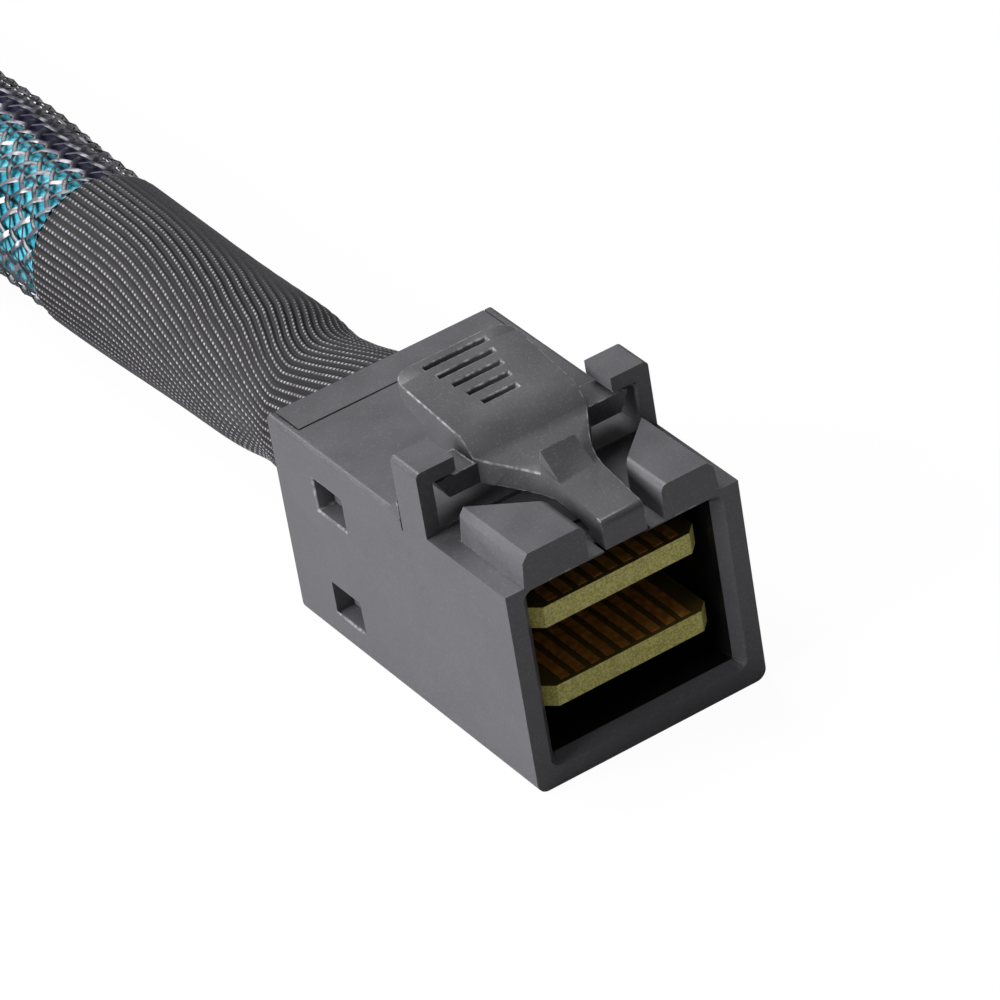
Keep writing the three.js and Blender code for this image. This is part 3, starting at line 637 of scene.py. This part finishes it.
# Sleeve: two sets of strands woven over and under each other round the flat cables

bundle_radius = 3.3
bundle_sides = 48
bundle_steps = 420
ridge_count = 16
ridge_depth = 0.07
strand_count = 20
strand_lay = 23.4
strand_width = 0.23
strand_radius = 3.58
strand_weave = 0.10
strand_crown = 0.05
strand_overhang = 0.28
strand_shades = 5
shade_stride = 7
samples_per_crossing = 4


def bundle_place(turn, share):
    place, side, up = cable_line.at(share * cable_line.length)
    angle = turn * math.tau
    radius = bundle_radius + ridge_depth * abs(math.sin(turn * ridge_count * math.pi))
    return place + (side * math.cos(angle) + up * math.sin(angle)) * radius


def strand_set(name, hand, material):
    """Half of the braid's strands, which wind about the cable by one hand."""
    step = strand_lay / strand_count / samples_per_crossing
    count = round((cable_line.length + 2 * strand_overhang) / step)
    distances = [index * step - strand_overhang for index in range(count + 1)]
    frames = [cable_line.at(distance) for distance in distances]
    bm = bmesh.new()
    bm.loops.layers.uv.new("UVMap")
    shade = bm.verts.layers.float.new("shade")
    for strand in range(strand_count):
        made = bmesh.ops.create_grid(bm, x_segments=2, y_segments=count, size=0.5, calc_uvs=True)["verts"]
        for vert in made:
            across, index = vert.co.x * 2, round((vert.co.y + 0.5) * count)
            place, side, up = frames[index]
            turns = hand * distances[index] / strand_lay + strand / strand_count
            weave = hand * math.cos(distances[index] / strand_lay * strand_count * math.tau)
            radius = strand_radius + strand_weave * weave + strand_crown * (1 - abs(across))
            angle = turns * math.tau + across * strand_width / math.sqrt(2) / strand_radius
            vert.co = place + (side * math.cos(angle) + up * math.sin(angle)) * radius
            vert[shade] = strand * shade_stride % strand_shades / (strand_shades - 1)
    bm.faces.ensure_lookup_table()
    bm.normal_update()
    first = bm.faces[0]
    if (first.calc_center_median() - frames[0][0]).dot(first.normal) < 0:
        bmesh.ops.reverse_faces(bm, faces=bm.faces)
    return add_piece(name, bm, material, "root", ["braided_sleeve"])


def strand_plastic(name, dark, light, painted_glint, painted_glint_share):
    material, tree = new_material(name)
    along = tree.across_and_along()[1]
    shade = tree.attribute("shade")
    periods = round(cable_line.length / (strand_lay / strand_count))
    crest = tree.wave(along, periods)
    colour = tree.mix(shade, dark, light)
    # Pale patches on the crests where strands pass over are painted glints, brighter on the light strands.
    crest_glint = tree.maths("MULTIPLY", tree.spread(crest, 0.7, 0.95), tree.spread(tree.grain(0.9), 0.5, 0.62))
    colour = tree.mix(tree.maths("MULTIPLY", crest_glint, painted_glint_share), colour, painted_glint)
    tree.finish(colour, 0.32, tree.bump(tree.grain(0.12), 0.01), Specular_IOR_Level=0.6)
    return material


teal_start, teal_end = 0.235, 0.70


def flat_cable_jackets():
    """Teal flat cables on the side that the plug's left shows, dark blue ones on the other."""
    material, tree = new_material("flat_cable_jackets")
    turn = tree.across_and_along()[0]
    cloud = tree.grain(1.6)
    teal = tree.mix(tree.spread(cloud, 0.35, 0.65), srgb(34, 128, 150), srgb(92, 184, 202))
    navy = tree.mix(tree.spread(cloud, 0.35, 0.65), srgb(22, 22, 58), srgb(40, 38, 82))
    is_teal = tree.maths("MULTIPLY", tree.maths("GREATER_THAN", turn, teal_start),
                         tree.maths("LESS_THAN", turn, teal_end))
    # The grooves between the flat cables are painted near-black shade.
    groove_shade = tree.spread(tree.wave(turn, ridge_count), 0.9, 1.0)
    colour = tree.mix(groove_shade, tree.mix(is_teal, navy, teal), srgb(14, 20, 30))
    tree.finish(colour, 0.34, tree.bump(tree.grain(0.25), 0.02))
    return material


# Plated steel and the wires inside

def plated_steel():
    material, tree = new_material("plated_steel")
    place = tree.add("ShaderNodeTexCoord").outputs["Object"]
    drawn = tree.add("ShaderNodeMapping", None, Vector=place, Scale=(22000, 900, 22000))
    lines = tree.add("ShaderNodeTexNoise", None, Vector=drawn, Scale=1.0, Detail=3.0).outputs[0]
    colour = tree.mix(tree.spread(lines, 0.35, 0.65), srgb(176, 176, 178), srgb(204, 203, 200))
    tree.finish(colour, tree.spread(lines, 0.3, 0.7, 0.22, 0.42), tree.bump(lines, 0.004), Metallic=1.0)
    return material


def wire_cover(name, dark, light, roughness, metallic, wrap_pitch):
    """A wire's cover, wound or drawn, with a faint step at each turn."""
    material, tree = new_material(name)
    place = tree.add("ShaderNodeSeparateXYZ", None, Vector=tree.add("ShaderNodeTexCoord").outputs["Object"])
    turns = tree.wave(place.outputs[1], 1 / (wrap_pitch * mm))
    colour = tree.mix(tree.spread(tree.grain(0.4), 0.35, 0.65), dark, light)
    tree.finish(colour, roughness, tree.bump(turns, 0.02), Metallic=metallic)
    return material


bpy.context.scene.view_settings.view_transform = "Standard"
add_camera()
add_world()
add_softbox("left_softbox", **left_softbox)
add_softbox("top_softbox", **top_softbox)
add_floor()

# Each moulded plastic's fourth colour is the painted near-black shade for faces in the mouth; only the plug
# shell marks such faces.
moulded_grey = moulded_plastic("moulded_grey", srgb(72, 71, 75), srgb(150, 150, 156), srgb(8, 7, 9), 0.42)
latch_grey = moulded_plastic("latch_grey", srgb(72, 72, 75), srgb(158, 158, 164), srgb(8, 7, 9), 0.38)
inner_moulding = moulded_plastic("inner_moulding", srgb(18, 18, 20), srgb(40, 40, 44), srgb(8, 8, 9), 0.6)
far_shell = moulded_plastic("far_shell", srgb(54, 54, 58), srgb(120, 120, 124), srgb(10, 9, 11), 0.5,
                            grain_size=0.08, grain_depth=0.01)
board = board_with_contacts()
steel = plated_steel()
pair_foil = wire_cover("pair_foil", srgb(170, 172, 178), srgb(206, 208, 212), 0.3, 1.0, 1.1)
wire_teal = wire_cover("wire_teal", srgb(20, 96, 108), srgb(40, 132, 146), 0.4, 0.0, 0.5)
boot_weave = ribbed_weave()

add_moulding("plug_shell", moulded_grey, shell_rounding, painted_mouth_shade=in_mouth)
add_moulding("rear_cover", moulded_grey, cover_rounding)
add_moulding("release_latch", latch_grey, latch_rounding, body="near_latch")
add_moulding("far_lower_shell", far_shell, far_rounding)
add_moulding("far_upper_shell", far_shell, far_rounding)
add_moulding("far_button", far_shell, far_rounding, body="far_latch_body")
add_board("upper_paddle_card", board, board_thickness)
add_board("lower_paddle_card", board, board_thickness)
add_board("far_paddle_card", board, far_board_thickness)
add_boot(boot_weave)

bundle = add_piece("flat_cable_bundle", wrapped_grid(bundle_sides, bundle_steps, bundle_place),
                   flat_cable_jackets(), "root", ["braided_sleeve"])
# Each strand set's last two values are its painted glint colour and how much of it shows.
light_strands = strand_plastic("light_strands", srgb(52, 50, 58), srgb(96, 94, 102), srgb(225, 225, 230), 0.7)
dark_strands = strand_plastic("dark_strands", srgb(24, 23, 30), srgb(50, 48, 58), srgb(120, 120, 128), 0.25)
strands = [
    strand_set("sleeve_strands_right", 1, light_strands),
    strand_set("sleeve_strands_left", -1, dark_strands),
]

carried = {
    "card_spacer": inner_moulding,
    "far_insulator": inner_moulding,
    "far_nose": steel,
    "far_latch": steel,
    "far_boot": boot_weave,
}
wires = {"twinax_pair": pair_foil, "sideband_wire": wire_teal}
for name, node in nodes.items():
    kind = name.rstrip("_12345678")
    node.data.materials.clear()
    node.data.materials.append(carried.get(name) or wires.get(kind) or moulded_grey)

path_steps = 240
path_step = cable_line.length / path_steps
path = [row_frame @ cable_line.at(path_step * index)[0] for index in range(path_steps + 1)]
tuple(path[0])
